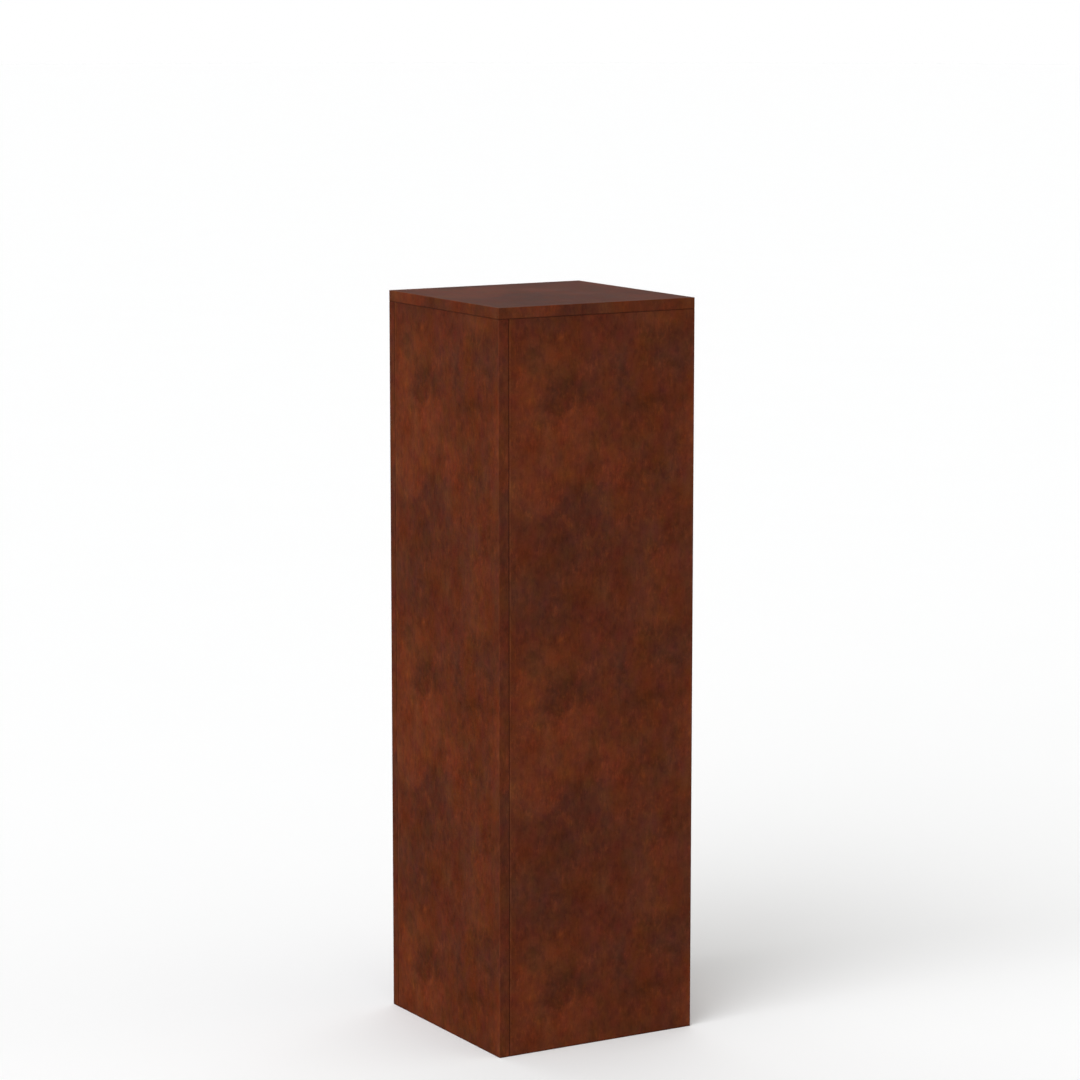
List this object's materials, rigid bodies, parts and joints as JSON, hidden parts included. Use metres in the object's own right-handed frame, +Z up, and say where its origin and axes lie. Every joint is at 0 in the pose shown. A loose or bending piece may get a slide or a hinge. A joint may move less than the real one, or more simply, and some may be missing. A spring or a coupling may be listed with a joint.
{
  "type": "display plinth",
  "caption": "Square column display plinth of mottled rust-brown laminated board with a flat top, closed on all sides, on recessed levelling feet.",
  "frame": {"origin": "centre of the square footprint, on the floor", "axes": "+Z up; the front wall faces -Y, the right wall +X, the screwed rear wall +Y"},
  "size_m": [0.3, 0.3, 1],
  "materials": {
    "decor_board": "15 mm chipboard faced with a mottled rust-brown matt melamine decor",
    "edge_band": "1 mm edge band printed with the same mottled rust-brown decor, matt",
    "raw_board": "15 mm bare sanded chipboard",
    "cam_zinc": "die-cast zinc, dull, nickel plated",
    "bolt_steel": "bright zinc plated",
    "dowel_beech": "plain turned beech, fluted",
    "screw_steel": "bright zinc plated",
    "cap_plastic": "moulded brown plastic, fine matt grain",
    "nut_steel": "yellow passivated zinc plate",
    "stud_steel": "bright zinc plated",
    "foot_plastic": "black moulded nylon, fine matt grain",
    "sole_rubber": "dark grey non-slip rubber"
  },
  "bodies": {
    "cabinet": {"base_panel": "raw_board", "brace_panel": "raw_board", "cam_bolts_base": "bolt_steel", "cam_bolts_front_left_joint": "bolt_steel", "cam_bolts_front_right_joint": "bolt_steel", "cam_bolts_top": "bolt_steel", "connecting_screws": "screw_steel", "dowels_base": "dowel_beech", "dowels_brace": "dowel_beech", "dowels_front_left_joint": "dowel_beech", "dowels_front_right_joint": "dowel_beech", "dowels_rear_right_joint": "dowel_beech", "dowels_top": "dowel_beech", "foot_insert_nuts": "nut_steel", "front_panel": "decor_board", "front_panel_edge_band": "edge_band", "left_panel": "decor_board", "left_panel_edge_band": "edge_band", "rear_panel": "decor_board", "rear_panel_edge_band": "edge_band", "right_panel": "decor_board", "right_panel_edge_band": "edge_band", "screw_caps": "cap_plastic", "top_edge_band_front": "edge_band", "top_edge_band_left": "edge_band", "top_edge_band_rear": "edge_band", "top_edge_band_right": "edge_band", "top_panel": "decor_board"},
    "cam_lock_front_panel_lower": {"cam_lock_front_panel_lower": "cam_zinc"},
    "cam_lock_front_panel_middle": {"cam_lock_front_panel_middle": "cam_zinc"},
    "cam_lock_front_panel_upper": {"cam_lock_front_panel_upper": "cam_zinc"},
    "cam_lock_right_panel_lower": {"cam_lock_right_panel_lower": "cam_zinc"},
    "cam_lock_right_panel_middle": {"cam_lock_right_panel_middle": "cam_zinc"},
    "cam_lock_right_panel_upper": {"cam_lock_right_panel_upper": "cam_zinc"},
    "cam_lock_top_right_front": {"cam_lock_top_right_front": "cam_zinc"},
    "cam_lock_top_right_rear": {"cam_lock_top_right_rear": "cam_zinc"},
    "cam_lock_top_left_rear": {"cam_lock_top_left_rear": "cam_zinc"},
    "cam_lock_top_left_front": {"cam_lock_top_left_front": "cam_zinc"},
    "cam_lock_base_left_front": {"cam_lock_base_left_front": "cam_zinc"},
    "cam_lock_base_left_rear": {"cam_lock_base_left_rear": "cam_zinc"},
    "cam_lock_base_right_front": {"cam_lock_base_right_front": "cam_zinc"},
    "cam_lock_base_right_rear": {"cam_lock_base_right_rear": "cam_zinc"},
    "foot_front_left": {"foot_pad_front_left": "foot_plastic", "foot_sole_front_left": "sole_rubber"},
    "stud_front_left": {"foot_stud_front_left": "stud_steel"},
    "foot_front_right": {"foot_pad_front_right": "foot_plastic", "foot_sole_front_right": "sole_rubber"},
    "stud_front_right": {"foot_stud_front_right": "stud_steel"},
    "foot_rear_left": {"foot_pad_rear_left": "foot_plastic", "foot_sole_rear_left": "sole_rubber"},
    "stud_rear_left": {"foot_stud_rear_left": "stud_steel"},
    "foot_rear_right": {"foot_pad_rear_right": "foot_plastic", "foot_sole_rear_right": "sole_rubber"},
    "stud_rear_right": {"foot_stud_rear_right": "stud_steel"}
  },
  "joints": [
    {"name": "cam_turn_front_panel_lower", "type": "hinge", "parent": "cabinet", "child": "cam_lock_front_panel_lower", "pos_m": [-0.101, -0.1413, 0.14], "axis": [0, 1, 0], "range_deg": [0, 180]},
    {"name": "cam_turn_front_panel_middle", "type": "hinge", "parent": "cabinet", "child": "cam_lock_front_panel_middle", "pos_m": [-0.101, -0.1413, 0.54], "axis": [0, 1, 0], "range_deg": [0, 180]},
    {"name": "cam_turn_front_panel_upper", "type": "hinge", "parent": "cabinet", "child": "cam_lock_front_panel_upper", "pos_m": [-0.101, -0.1413, 0.86], "axis": [0, 1, 0], "range_deg": [0, 180]},
    {"name": "cam_turn_right_panel_lower", "type": "hinge", "parent": "cabinet", "child": "cam_lock_right_panel_lower", "pos_m": [0.1413, -0.101, 0.14], "axis": [-1, 0, 0], "range_deg": [0, 180]},
    {"name": "cam_turn_right_panel_middle", "type": "hinge", "parent": "cabinet", "child": "cam_lock_right_panel_middle", "pos_m": [0.1413, -0.101, 0.54], "axis": [-1, 0, 0], "range_deg": [0, 180]},
    {"name": "cam_turn_right_panel_upper", "type": "hinge", "parent": "cabinet", "child": "cam_lock_right_panel_upper", "pos_m": [0.1413, -0.101, 0.86], "axis": [-1, 0, 0], "range_deg": [0, 180]},
    {"name": "cam_turn_top_right_front", "type": "hinge", "parent": "cabinet", "child": "cam_lock_top_right_front", "pos_m": [0.1413, -0.085, 0.951], "axis": [-1, 0, 0], "range_deg": [0, 180]},
    {"name": "cam_turn_top_right_rear", "type": "hinge", "parent": "cabinet", "child": "cam_lock_top_right_rear", "pos_m": [0.1413, 0.085, 0.951], "axis": [-1, 0, 0], "range_deg": [0, 180]},
    {"name": "cam_turn_top_left_rear", "type": "hinge", "parent": "cabinet", "child": "cam_lock_top_left_rear", "pos_m": [-0.1413, 0.085, 0.951], "axis": [1, 0, 0], "range_deg": [0, 180]},
    {"name": "cam_turn_top_left_front", "type": "hinge", "parent": "cabinet", "child": "cam_lock_top_left_front", "pos_m": [-0.1413, -0.085, 0.951], "axis": [1, 0, 0], "range_deg": [0, 180]},
    {"name": "cam_turn_base_left_front", "type": "hinge", "parent": "cabinet", "child": "cam_lock_base_left_front", "pos_m": [-0.101, -0.055, 0.0263], "axis": [0, 0, -1], "range_deg": [0, 180]},
    {"name": "cam_turn_base_left_rear", "type": "hinge", "parent": "cabinet", "child": "cam_lock_base_left_rear", "pos_m": [-0.101, 0.055, 0.0263], "axis": [0, 0, -1], "range_deg": [0, 180]},
    {"name": "cam_turn_base_right_front", "type": "hinge", "parent": "cabinet", "child": "cam_lock_base_right_front", "pos_m": [0.101, -0.055, 0.0263], "axis": [0, 0, -1], "range_deg": [0, 180]},
    {"name": "cam_turn_base_right_rear", "type": "hinge", "parent": "cabinet", "child": "cam_lock_base_right_rear", "pos_m": [0.101, 0.055, 0.0263], "axis": [0, 0, -1], "range_deg": [0, 180]},
    {"name": "foot_wind_out_front_left", "type": "slide", "parent": "cabinet", "child": "foot_front_left", "axis": [0, 0, 1], "range_m": [-0.012, 0]},
    {"name": "foot_turn_front_left", "type": "hinge", "parent": "foot_front_left", "child": "stud_front_left", "pos_m": [-0.105, -0.105, 0.0073], "axis": [0, 0, 1], "range_deg": [-3456, 0]},
    {"name": "foot_wind_out_front_right", "type": "slide", "parent": "cabinet", "child": "foot_front_right", "axis": [0, 0, 1], "range_m": [-0.012, 0]},
    {"name": "foot_turn_front_right", "type": "hinge", "parent": "foot_front_right", "child": "stud_front_right", "pos_m": [0.105, -0.105, 0.0073], "axis": [0, 0, 1], "range_deg": [-3456, 0]},
    {"name": "foot_wind_out_rear_left", "type": "slide", "parent": "cabinet", "child": "foot_rear_left", "axis": [0, 0, 1], "range_m": [-0.012, 0]},
    {"name": "foot_turn_rear_left", "type": "hinge", "parent": "foot_rear_left", "child": "stud_rear_left", "pos_m": [-0.105, 0.105, 0.0073], "axis": [0, 0, 1], "range_deg": [-3456, 0]},
    {"name": "foot_wind_out_rear_right", "type": "slide", "parent": "cabinet", "child": "foot_rear_right", "axis": [0, 0, 1], "range_m": [-0.012, 0]},
    {"name": "foot_turn_rear_right", "type": "hinge", "parent": "foot_rear_right", "child": "stud_rear_right", "pos_m": [0.105, 0.105, 0.0073], "axis": [0, 0, 1], "range_deg": [-3456, 0]}
  ],
  "couplings": [
    {"joint": "foot_wind_out_front_left", "follows": "foot_turn_front_left", "m_per_rad": 0.00019894},
    {"joint": "foot_wind_out_front_right", "follows": "foot_turn_front_right", "m_per_rad": 0.00019894},
    {"joint": "foot_wind_out_rear_left", "follows": "foot_turn_rear_left", "m_per_rad": 0.00019894},
    {"joint": "foot_wind_out_rear_right", "follows": "foot_turn_rear_right", "m_per_rad": 0.00019894}
  ]
}
